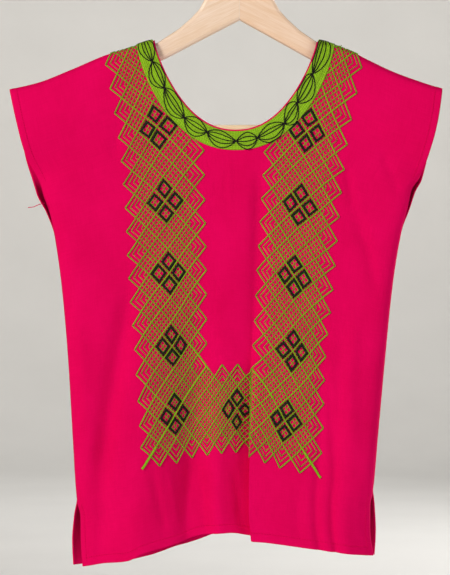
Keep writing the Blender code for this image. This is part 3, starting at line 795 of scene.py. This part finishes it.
def shared_finishes():
    """The blouse's materials, made once and found by name later."""
    colours = bpy.context.scene.blouse_colours
    if "plain_woven_cotton" not in bpy.data.materials:
        cotton_cloth(colours)
        embroidery_yarn("green_chain_stitch_yarn", colours.yarn_olive, colours.yarn_bright, 0.7, 0.16,
                        0.0024)
        embroidery_yarn("green_packed_chain_stitch_yarn", colours.band_olive, colours.band_bright, 0.7,
                        0.16, 0.0024)
        embroidery_yarn("black_chain_stitch_yarn", colours.yarn_black, linear("#1c1914"), 0.6, 0.14,
                        0.0024)
        embroidery_yarn("pink_sewing_thread", colours.cotton_deep_and_shade, colours.cotton, 0.8, 0.05, 0.0012)
    return bpy.data.materials


# Operators


def neck_columns(side):
    """Shares across at the two neck corners, where the neckline meets the shoulder fold."""
    edges = FRONT_EDGES if side < 0 else BACK_EDGES
    left, right = edges[0][1], edges[0][2]
    return [(CENTRE_X + way * NECK_HALF_WIDTH - left) / (right - left) for way in (-1, 1)]


def panel_columns(side):
    """Shares across for a panel's columns: even turns of a half circle between the neck corners, even
    steps beside
    them, and closer steps at the pleat."""
    left, right = neck_columns(side)
    middle, half = (left + right) / 2, (right - left) / 2
    inner = middle - half * np.cos(np.linspace(0, math.pi, 86))
    outer_left = np.concatenate((np.linspace(0, 0.02, 7), np.linspace(0.02, left, 50)[1:]))
    outer_right = 1 - np.concatenate((np.linspace(0, 0.02, 7), np.linspace(0.02, 1 - right, 50)[1:]))
    pleat = PLEAT_PLACE + np.concatenate((np.linspace(-0.024, 0.048, 25), np.linspace(-0.011, 0.013, 29)))
    every = np.sort(np.concatenate((inner, outer_left, outer_right, pleat)))
    return every[np.concatenate(([True], np.diff(every) > 6e-4))]


def panel_rows():
    """Shares of the way from a panel's upper edge to its hem, closer at the fold and at the hem."""
    return np.concatenate((np.linspace(0, 0.026, 10), np.linspace(0.026, 0.972, 138)[1:],
                           np.linspace(0.972, 1, 15)[1:]))


def hem_relief(across, down, side):
    """Swell of the turned-up cloth along the bottom, the slits and the sleeve ends, with a dip at its
    stitch row:
    a step of the distance to the edge, less a narrow bell curve at the row."""
    left, right = cloth_edges(down, side)
    sideways = np.minimum(across, 1 - across) * (right - left)
    upward = (1 - down) * CUT_LENGTH
    relief = np.zeros(np.shape(down))
    for distance, row, share in (
            (upward, HEM_BOTTOM, 1.0),
            (sideways, HEM_SLIT, ease(down, SLIT_START - 0.004, SLIT_START + 0.004)),
            (sideways, HEM_SLEEVE, SLEEVE_HEM_SHARE * (1 - ease(down, SLEEVE_END - 0.01, SLEEVE_END)))):
        swell = HEM_SWELL * (1 - ease(distance, row - 0.5, row + 1.5))
        dip = STITCH_SINK * np.exp(-((distance - row) / STITCH_ROW_WIDTH) ** 2)
        relief = np.maximum(relief, swell * share) - dip * share
    return relief


class HUIPIL_OT_cloth(bpy.types.Operator):
    """Builds the front and back of the blouse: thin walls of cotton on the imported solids' own form"""

    bl_idname = "huipil.cloth"
    bl_label = "Cloth front and back"

    def execute(self, context):
        finish = shared_finishes()["plain_woven_cotton"]
        wall = context.scene.blouse_sizes.wall / MM
        for name, side in (("cloth_front", -1), ("cloth_back", 1)):
            columns, rows = panel_columns(side), panel_rows()
            start = neck_down(columns, side)
            down = start[None, :] + (1 - start[None, :]) * rows[:, None]
            across = np.broadcast_to(columns, down.shape)
            point, out = cloth_frame(across, down, side)
            outer = point + out * hem_relief(across, down, side)[..., None]
            inner = point - wall * out
            inner[..., 1] = side * np.maximum(side * inner[..., 1], MIDDLE_GAP)
            faces = wall_faces(*down.shape, side)
            uv = np.stack([across * CUT_WIDTH, -down * CUT_LENGTH], -1).reshape(-1, 2) * MM
            piece = piece_from(name, np.concatenate([outer.reshape(-1, 3), inner.reshape(-1, 3)]),
                               faces, finish,
                               np.concatenate([uv, uv]))
            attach(piece, "root")
            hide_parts("front_panel" if side < 0 else "back_panel")
        return {"FINISHED"}


def lattice_cells():
    """Diamonds of the chart by their two diagonals (column less row, column plus row), with the way
    each tooth
    points: left, right, up, down or none."""
    cells = {}
    for low in range(-18, 12):
        for high in range(0, 30):
            at_column, at_row = (low + high + 1) / 2, (high - low) / 2
            in_columns = 0.5 <= at_column <= 3.5 or 7.5 <= at_column <= 10.5
            in_band = in_columns and 0.5 <= at_row <= FOLD_ROW + 0.5
            in_bar = 0.5 <= at_column <= 10.5 and 0.5 <= at_row <= BAR_ROWS - 0.5
            if not (in_band or in_bar):
                continue
            tooth = "none"
            if at_row == 0.5:
                tooth = "down"
            elif at_column == 0.5 or (at_column == 7.5 and at_row >= BAR_ROWS):
                tooth = "left"
            elif at_column == 10.5 or (at_column == 3.5 and at_row >= BAR_ROWS):
                tooth = "right"
            elif at_row == BAR_ROWS - 0.5 and at_column in (5, 6):
                tooth = "up"
            cells[low, high] = tooth
    return cells


def lattice_lines():
    """Straight lines of the chart, as (family, place, start, end, bold). Family 0 holds column less
    row, family 1
    column plus row. A tooth's fine lines are nested chevrons; elsewhere they cross the whole cell."""
    parts = {}
    for (low, high), tooth in lattice_cells().items():
        for family, place, start in ((0, low, high), (0, low + 1, high), (1, high, low),
                                     (1, high + 1, low)):
            parts.setdefault((family, float(place), True), set()).add((start, start + 1))
        for s in FINE_LINES:
            rising, falling = low + s, high + s
            spans = {
                "none": ((high, high + 1), (low, low + 1)),
                "left": ((high + s, high + 1), (low + s, low + 1)),
                "right": ((high, high + s), (low, low + s)),
                "up": ((high, high + 1 - s), (low + 1 - s, low + 1)),
                "down": ((high + 1 - s, high + 1), (low, low + 1 - s)),
            }[tooth]
            parts.setdefault((0, rising, False), set()).add(spans[0])
            parts.setdefault((1, falling, False), set()).add(spans[1])
    lines = []
    for (family, place, bold), spans in sorted(parts.items()):
        ordered = sorted(spans)
        start, end = ordered[0]
        for low, high in ordered[1:] + [(1e9, 1e9)]:
            if low > end + 1e-6:
                lines.append((family, place, start, end, bold))
                start, end = low, high
            end = max(end, high) if low < 1e8 else end
    return lines


def chart_to_cloth(chart_column, chart_row, side):
    """Shares across and down at a place of the chart: a smooth curve of x and of the share down along
    each known
    column, then straight between the known columns."""
    pixels = np.array(LATTICE_PLACES)
    across, down = pixel_on_cloth(pixels[..., 0], pixels[..., 1], side)
    down[:, -1] = 0.0
    left, right = cloth_edges(down, side)
    x = left + (right - left) * across
    tables = [np.stack([smooth_table(chart_row, LATTICE_ROWS,
                                     values) for values in known]) for known in (x, down)]
    known = np.array(LATTICE_COLUMNS)
    cell = np.clip(np.searchsorted(known, chart_column, side="right") - 1, 0, len(known) - 2)
    share = (chart_column - known[cell]) / (known[cell + 1] - known[cell])
    spot = np.arange(len(cell))
    x, down = [table[cell, spot] * (1 - share) + table[cell + 1, spot] * share for table in tables]
    left, right = cloth_edges(down, side)
    return (x - left) / (right - left), down


def outside_band(path, share=0.985):
    """Where a path lies past the neck band, or just under its edge."""
    return neck_measure(path[:, 0], path[:, 2], BAND_HALF_WIDTH, BAND_DEPTH, BAND_POWERS) > share


def kept_runs(keep):
    """Start and end of each unbroken stretch that is kept."""
    edges = np.flatnonzero(np.diff(np.concatenate(([0], keep.astype(int), [0]))))
    return edges.reshape(-1, 2)


def add_chart_line(work, start, end, side, width, height, tone, wobble):
    """One thread of the chart from start to end (column, row), cut off at the fold and under the neck
    band."""
    start, end = np.array(start, float), np.array(end, float)
    for one, other in ((start, end), (end, start)):
        if one[1] > FOLD_ROW:
            if other[1] >= FOLD_ROW:
                return
            one += (other - one) * (one[1] - FOLD_ROW) / (one[1] - other[1])
    length = np.hypot(*((end - start) * (CELL_WIDTH, CELL_HEIGHT)))
    steps = max(3, int(round(length / LINE_STEP)) + 1)
    share = np.linspace(0, 1, steps)
    chart = start + (end - start) * share[:, None]
    sway = wobble * np.sin(share * length / SWAY_LENGTH + tone * 40) / 27.0
    across, down = chart_to_cloth(chart[:, 0] + sway, chart[:, 1], side)
    path, out = cloth_frame(across, np.clip(down, 0, 1), side)
    for first, last in kept_runs(outside_band(path)):
        if last - first > 1:
            work.add(path[first:last], out[first:last], width, height, tone)


class HUIPIL_OT_lattice(bpy.types.Operator):
    """Sews the green lattice: bold cells and fine lines of chain stitch on both sides of the blouse"""

    bl_idname = "huipil.lattice"
    bl_label = "Green lattice"

    def execute(self, context):
        sizes = context.scene.blouse_sizes
        fine, bold = sizes.fine_line / MM, sizes.bold_line / MM
        height = sizes.line_height / MM
        finish = shared_finishes()["green_chain_stitch_yarn"]
        chance = np.random.default_rng(7)
        for name, side in (("lattice_front", -1), ("lattice_back", 1)):
            work = ThreadWork()
            for family, place, start, end, is_bold in lattice_lines():
                ends = [((t + place) / 2,
                         (t - place) / 2) if family == 0 else ((place + t) / 2, (place - t) / 2)
                        for t in (start, end)]
                tone = chance.uniform(0.4, 1.0) if is_bold else chance.uniform(0.15, 0.85)
                lift = height + (0.35 if is_bold else 0.0) + (0.18 if family == 0 else 0.0)
                add_chart_line(work, *ends, side, bold if is_bold else fine, lift, tone, 0.35)
            for ends in HEAVY_LINES:
                add_chart_line(work, *ends, side, bold * 1.35, height + 0.8, 1.1, 0.2)
            for ends in TIP_LINES:
                add_chart_line(work, *ends, side, bold * 1.75, height + 1.1, 1.25, 0.0)
            piece = work.build(name, finish)
            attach(piece, "root")
        return {"FINISHED"}


class HUIPIL_OT_motifs(bpy.types.Operator):
    """Sews the black diamonds, four round each motif's centre"""

    bl_idname = "huipil.motifs"
    bl_label = "Black diamonds"

    def execute(self, context):
        sizes = context.scene.blouse_sizes
        width = sizes.black_line / MM
        finish = shared_finishes()["black_chain_stitch_yarn"]
        centres = [(c, r) for c in MOTIF_COLUMNS for r in MOTIF_ROWS] + [MOTIF_BAR]
        angle = np.linspace(0, 2 * math.pi, 41)[:-1]
        round_up = (np.abs(np.cos(angle)) ** MOTIF_SHARPNESS + np.abs(np.sin(angle)) ** MOTIF_SHARPNESS)
        reach = 0.5 * MOTIF_SHARE / round_up ** (1 / MOTIF_SHARPNESS)
        chance = np.random.default_rng(3)
        for name, side in (("diamonds_front", -1), ("diamonds_back", 1)):
            work = ThreadWork()
            for at_column, at_row in centres:
                offsets = MOTIF_BAR_OFFSETS if (at_column, at_row) == MOTIF_BAR else MOTIF_OFFSETS
                for off_column, off_row, size in offsets:
                    wide, tall = size * chance.uniform(0.93, 1.08, 2)
                    slip = chance.uniform(-0.025, 0.025, 2)
                    chart_column = at_column + off_column + slip[0] + wide * reach * np.cos(angle)
                    chart_row = at_row + off_row + slip[1] + tall * reach * np.sin(angle)
                    across, down = chart_to_cloth(chart_column, chart_row, side)
                    path, out = cloth_frame(across, down, side)
                    keep = outside_band(path)
                    if keep.all():
                        work.add(path, out, width, MOTIF_HEIGHT, 0.5, closed=True)
                        continue
                    turned = np.roll(np.arange(len(keep)), -int(np.argmin(keep)))
                    for first, last in kept_runs(keep[turned]):
                        if last - first > 1:
                            part = turned[first:last]
                            work.add(path[part], out[part], width, MOTIF_HEIGHT, 0.5)
            piece = work.build(name, finish)
            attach(piece, "root")
        return {"FINISHED"}


def band_point(along, across_band, side):
    """Point of the neck band: along runs from 0 at the left fold to 1 at the right, across_band from 0
    at the inner
    edge to 1 at the outer. It lies between two superellipses at the same angle, then on the cloth."""
    angle = math.pi * (1 + along)
    cosine, sine = np.cos(angle), np.abs(np.sin(angle))

    def edge(half_width, depth, powers):
        return (CENTRE_X + half_width * np.sign(cosine) * np.abs(cosine) ** (2 / powers[0]),
                NECK_TOP - depth * sine ** (2 / powers[1]))

    inner_x, inner_z = edge(NECK_HALF_WIDTH + BAND_EDGE, NECK_DEPTH + BAND_EDGE, NECK_POWERS)
    outer_x, outer_z = edge(BAND_HALF_WIDTH, BAND_DEPTH, BAND_POWERS)
    x = inner_x + (outer_x - inner_x) * across_band
    z = inner_z + (outer_z - inner_z) * across_band
    across, down = cloth_place(x, z, side)
    down = np.where((along <= 0) | (along >= 1), 0.0, down)
    return cloth_frame(across, np.maximum(down, 0), side)


class HUIPIL_OT_neck_band(bpy.types.Operator):
    """Sews the neck band: dense rows of green chain stitch round the neckline, with black strands in
    loops"""

    bl_idname = "huipil.neck_band"
    bl_label = "Neck band"

    def execute(self, context):
        sizes = context.scene.blouse_sizes
        top = sizes.band_height / MM
        green, black = (shared_finishes()[name] for name in ("green_packed_chain_stitch_yarn",
                                                             "black_chain_stitch_yarn"))
        for word, side in (("front", -1), ("back", 1)):
            turns = (1 - np.cos(np.linspace(0, math.pi, BAND_STEPS))) / 2
            turns = 0.5 * turns + 0.5 * np.linspace(0, 1, BAND_STEPS)
            share = np.linspace(0, 1, BAND_ROWS * BAND_ROW_STEPS + 1)
            across_band, along = np.meshgrid(share, turns, indexing="ij")
            point, out = band_point(along, across_band, side)
            bead = np.abs(np.sin(share * math.pi * BAND_ROWS)) ** 0.7
            length = along * BAND_LENGTH
            row = np.floor(across_band * BAND_ROWS)
            stitch = 0.18 * np.sin(length / CHAIN_STITCH * 2 * math.pi + row * 2.1)
            edge_drop = ease(share, 0, 0.03) * ease(1 - share, 0, 0.03)
            height = 0.35 + (top - 0.95 + 0.6 * bead[:,
                                                     None] + stitch * bead[:, None]) * edge_drop[:, None]
            outer = point + out * height[..., None]
            inner = point + out * 0.05
            faces = wall_faces(*along.shape, side)
            tone = 0.35 + 0.4 * np.abs(np.sin(row * 2.4 + along * 9))
            uv = np.stack([along * BAND_LENGTH * MM, tone], -1).reshape(-1, 2)
            piece = piece_from("neck_band_stitching_" + word,
                               np.concatenate([outer.reshape(-1, 3), inner.reshape(-1, 3)]), faces, green,
                               np.concatenate([uv, uv]))
            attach(piece, "root")
            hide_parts("neck_band_" + word)
            loops = self.loops(side, top, sizes.loop_thread / MM).build("neck_band_loops_" + word, black)
            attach(loops, "root")
        return {"FINISHED"}

    def loops(self, side, top, thread):
        """Strands from knot to knot: each runs straight between them in the band's own two directions,
        plus a
        bulge that is half a sine. A knot's place on the band is the nearest of a grid of its points."""
        work = ThreadWork()
        knot_x, knot_z = pixel_place(*zip(*LOOP_KNOTS))
        along, across_band = (grid.ravel() for grid in np.meshgrid(np.linspace(0.0, 1, 801),
                                                                   np.linspace(0.1, 0.9, 25)))
        known, _ = band_point(along, across_band, -1)
        nearest = [np.argmin(np.hypot(known[:, 0] - x, known[:, 2] - z)) for x, z in zip(knot_x, knot_z)]
        knots = np.stack([along[nearest], across_band[nearest]], -1)
        knots[0, 0], knots[-1, 0] = 0.0, 1.0
        share = np.linspace(0, 1, 19)
        chance = np.random.default_rng(11)
        for start, end in zip(knots[:-1], knots[1:]):
            line = start + (end - start) * share[:, None]
            for strand in LOOP_STRANDS:
                bulge = (strand + chance.uniform(-0.04, 0.04)) * np.sin(share * math.pi) ** 0.8
                path, out = band_point(line[:, 0], np.clip(line[:, 1] + bulge, 0.03, 1.0), side)
                work.add(path + out * (top - 0.35), out, thread, 0.75, 0.4)
            path, out = band_point(start[0] + np.linspace(-0.006, 0.006, 4), np.full(4, start[1]), side)
            work.add(path + out * (top - 0.2), out, thread * 1.8, 0.9, 0.4)
        return work


def edge_row(points_across, points_down, side):
    """Evenly spaced places and directions along a stitch row on the cloth."""
    path, out = cloth_frame(points_across, points_down, side)
    gaps = np.linalg.norm(np.diff(path, axis=0), axis=1)
    length = np.concatenate(([0.0], np.cumsum(gaps)))
    return path, out, length


class HUIPIL_OT_hem_stitches(bpy.types.Operator):
    """Sews the rows of stitches along the hem, the slits and the sleeve ends, and leaves a few loose
    threads"""

    bl_idname = "huipil.hem_stitches"
    bl_label = "Hem stitches"

    def execute(self, context):
        pink = shared_finishes()["pink_sewing_thread"]
        for word, side in (("front", -1), ("back", 1)):
            work = ThreadWork()
            even = np.linspace(0, 1, 401)
            rows = [(0.012 + 0.976 * even, np.full(401, 1 - HEM_BOTTOM / CUT_LENGTH))]
            for mirrored in (False, True):
                for inset, start, end, width in ((HEM_SLIT, SLIT_START, 0.99, BODY_WIDTH),
                                                 (HEM_SLEEVE, 0.004, SLEEVE_END - 0.01, SLEEVE_WIDTH)):
                    place = np.full(401, inset / width)
                    rows.append((1 - place if mirrored else place, start + (end - start) * even))
            for across, down in rows:
                path, out, length = edge_row(across, down, side)
                centres = np.arange(STITCH_PITCH / 2, length[-1], STITCH_PITCH)
                ends = centres[:, None] + np.linspace(-0.5, 0.5, 4) * STITCH_LENGTH
                for stitch in ends:
                    where = np.stack([np.interp(stitch, length, path[:, axis]) for axis in range(3)], -1)
                    away = np.stack([np.interp(stitch, length, out[:, axis]) for axis in range(3)], -1)
                    arch = np.array([-0.1, 0.3, 0.3, -0.1])
                    work.add(where + away * arch[:, None], away, STITCH_THREAD, 0.25, 0.5, sink=0.2)
            piece = work.build("hem_stitches_" + word, pink)
            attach(piece, "root")
        for word, (pixels, depths) in LOOSE_THREADS.items():
            work = ThreadWork()
            depth = np.array(depths, float)
            x, z = pixel_place(*np.array(pixels, float).T, depth)
            ticks = np.arange(len(depth))
            fine = np.linspace(0, len(depth) - 1, 17)
            path = np.stack([smooth_table(fine, ticks, values) for values in (x, depth, z)], -1)
            work.add(path, np.broadcast_to((0.0, -1.0, 0.0), path.shape), 0.9, 0.45, 0.5, sink=0.35)
            name = {"pink": "pink_sewing_thread", "green": "green_chain_stitch_yarn"}[word]
            piece = work.build("loose_thread_" + word, bpy.data.materials[name])
            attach(piece, "root")
        front, back = bpy.data.objects["cloth_front"], bpy.data.objects["cloth_back"]
        for sheet, word in ((front, "front"), (back, "back")):
            kinds = ("lattice_", "diamonds_", "neck_band_stitching_", "neck_band_loops_", "hem_stitches_")
            on_it = [bpy.data.objects[kind + word] for kind in kinds]
            if word == "front":
                on_it += [bpy.data.objects["loose_thread_" + colour] for colour in LOOSE_THREADS]
        return {"FINISHED"}


class HUIPIL_OT_hanger(bpy.types.Operator):
    """Finishes the wooden arms, the bar and the hook on their own solids"""

    bl_idname = "huipil.hanger"
    bl_label = "Hanger"

    def execute(self, context):
        colours = context.scene.blouse_colours
        slope = math.atan2(ARM_FALL, ARM_RUN)
        wood = {
            "hanger_arm_left": lacquered_wood("lacquered_beech_left", colours.wood_left,
                                              linear("#dcbd9e"), slope),
            "hanger_arm_right": lacquered_wood("lacquered_beech_right", colours.wood_right,
                                               linear("#dcb998"), -slope),
            "hanger_bar": lacquered_wood("lacquered_beech_bar", colours.wood_bar, linear("#f2cb9b"), 0.0),
            "hook": plated_steel(colours),
        }
        for name, finish in wood.items():
            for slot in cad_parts[name].material_slots:
                slot.material = finish
        return {"FINISHED"}


class HUIPIL_OT_studio(bpy.types.Operator):
    """Sets the pale seamless backdrop, the soft lights and the camera"""

    bl_idname = "huipil.studio"
    bl_label = "Studio"

    def execute(self, context):
        studio = context.scene.blouse_studio
        self.backdrop(context)
        for name, place, aim, size, power, tint in SOFTBOXES:
            self.light(name, place, aim, size, getattr(studio, power), tint)
        world = bpy.data.worlds.new("studio_air")
        context.scene.world = world
        world.use_nodes = True
        air = world.node_tree.nodes["Background"]
        air.inputs["Color"].default_value = linear("#f4f5f7")
        air.inputs["Strength"].default_value = studio.sky

        lens = bpy.data.cameras.new("photo_camera")
        lens.sensor_width = 36.0
        lens.lens = lens.sensor_width * CAMERA_REACH / (PHOTO_HEIGHT * PIXEL)
        lens.clip_end = 50.0
        camera = bpy.data.objects.new("photo_camera", lens)
        camera.location = (CAMERA_X * MM, (FRAME_PLANE_Y - CAMERA_REACH) * MM, CAMERA_Z * MM)
        camera.rotation_euler = (math.pi / 2, 0.0, 0.0)
        context.scene.collection.objects.link(camera)
        context.scene.camera = camera
        context.scene.view_settings.view_transform = "Standard"
        return {"FINISHED"}

    def light(self, name, place, target, size, power, code):
        lamp = bpy.data.lights.new(name, "AREA")
        lamp.shape = "DISK"
        lamp.size = size
        lamp.energy = power
        lamp.color = linear(code)[:3]
        holder = bpy.data.objects.new(name, lamp)
        bpy.context.scene.collection.objects.link(holder)
        holder.location = place
        aim = np.array(target) - np.array(place)
        yaw, pitch = math.atan2(aim[1], aim[0]), math.atan2(aim[2], math.hypot(aim[0], aim[1]))
        holder.rotation_euler = (math.pi / 2 + pitch, 0.0, yaw - math.pi / 2)

    def backdrop(self, context):
        """Bowl: a flat floor that turns up into a round wall, as a profile of (radius, height) spun
        round."""
        floor, turn, reach = FLOOR_HEIGHT, BOWL_TURN, BOWL_REACH
        bend = np.linspace(0, math.pi / 2, 13)
        radius = np.concatenate(([0.02], np.linspace(0.8, reach - turn, 4),
                                 reach - turn + turn * np.sin(bend)[1:], [reach]))
        height = np.concatenate(([floor], np.full(4, floor), floor + turn * (1 - np.cos(bend))[1:],
                                 [BOWL_TOP]))
        around = np.linspace(0, 2 * math.pi, BOWL_SIDES + 1)[:-1]
        points = np.stack([radius[:, None] * np.cos(around), radius[:, None] * np.sin(around),
                           np.repeat(height[:, None], len(around), 1)], -1) / MM
        index = np.arange(points.shape[0] * BOWL_SIDES).reshape(-1, BOWL_SIDES)
        ahead = np.roll(index, -1, 1)
        quads = np.stack([index[:-1], index[1:], ahead[1:], ahead[:-1]], -1).reshape(-1, 4).tolist()
        quads.append(index[0].tolist())
        bowl = piece_from("backdrop", points.reshape(-1, 3), quads,
                          studio_paper(context.scene.blouse_colours))


class HUIPIL_PT_panel(bpy.types.Panel):
    """Lists the steps of the blouse in the 3D view's sidebar"""

    bl_label = "Huipil blouse"
    bl_idname = "HUIPIL_PT_panel"
    bl_space_type = "VIEW_3D"
    bl_region_type = "UI"
    bl_category = "Huipil"

    def draw(self, context):
        for group in (context.scene.blouse_sizes, context.scene.blouse_colours,
                      context.scene.blouse_studio):
            box = self.layout.box()
            for name in group.__annotations__:
                box.prop(group, name)
        for step in STEPS:
            self.layout.operator(step.bl_idname)


STEPS = (HUIPIL_OT_cloth, HUIPIL_OT_lattice, HUIPIL_OT_motifs, HUIPIL_OT_neck_band, HUIPIL_OT_hem_stitches,
         HUIPIL_OT_hanger, HUIPIL_OT_studio)
CLASSES = (BlouseColours, BlouseSizes, StudioSettings, *STEPS, HUIPIL_PT_panel)


def register():
    for made in CLASSES:
        bpy.utils.register_class(made)
    bpy.types.Scene.blouse_colours = bpy.props.PointerProperty(type=BlouseColours)
    bpy.types.Scene.blouse_sizes = bpy.props.PointerProperty(type=BlouseSizes)
    bpy.types.Scene.blouse_studio = bpy.props.PointerProperty(type=StudioSettings)


def unregister():
    del bpy.types.Scene.blouse_colours, bpy.types.Scene.blouse_sizes, bpy.types.Scene.blouse_studio
    for made in reversed(CLASSES):
        bpy.utils.unregister_class(made)


def main():
    register()
    bpy.ops.huipil.cloth()
    bpy.ops.huipil.lattice()
    bpy.ops.huipil.motifs()
    bpy.ops.huipil.neck_band()
    bpy.ops.huipil.hem_stitches()
    bpy.ops.huipil.hanger()
    bpy.ops.huipil.studio()


if __name__ == "__main__":
    main()
